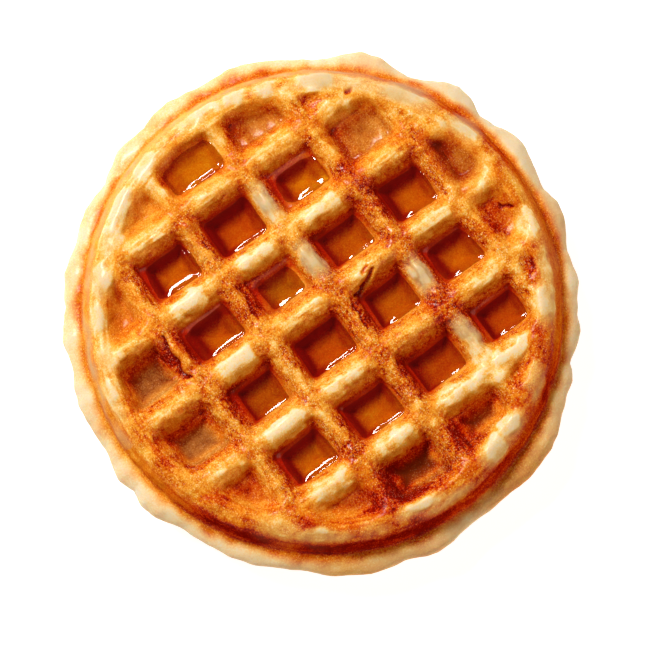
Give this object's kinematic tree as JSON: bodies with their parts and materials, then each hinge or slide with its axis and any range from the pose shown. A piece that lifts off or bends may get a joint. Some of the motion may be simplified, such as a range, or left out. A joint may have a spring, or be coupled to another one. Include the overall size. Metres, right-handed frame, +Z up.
{
  "type": "round waffle",
  "caption": "Round waffle with a square grid of ribs and deep pockets on both faces, a wavy pale skirt round its edge, and syrup pooled in the upper pockets.",
  "frame": {"origin": "middle of the waffle's outline, on the plane of the lower ribs that it lies on", "axes": "+X along one set of ribs, +Y along the other set, +Z up through the face that holds the syrup"},
  "size_m": [0.112, 0.1122, 0.017],
  "materials": {
    "crust": "baked batter crust, cream to golden brown",
    "syrup": "clear amber syrup, wet and glossy"
  },
  "bodies": {
    "root": {"waffle": "crust", "syrup_b2": "syrup", "syrup_b3": "syrup", "syrup_b4": "syrup", "syrup_b5": "syrup", "syrup_c2": "syrup", "syrup_c3": "syrup", "syrup_c4": "syrup", "syrup_c5": "syrup", "syrup_c6": "syrup", "syrup_d2": "syrup", "syrup_d3": "syrup", "syrup_d4": "syrup", "syrup_d5": "syrup", "syrup_e2": "syrup", "syrup_e3": "syrup", "syrup_e4": "syrup"}
  },
  "joints": []
}
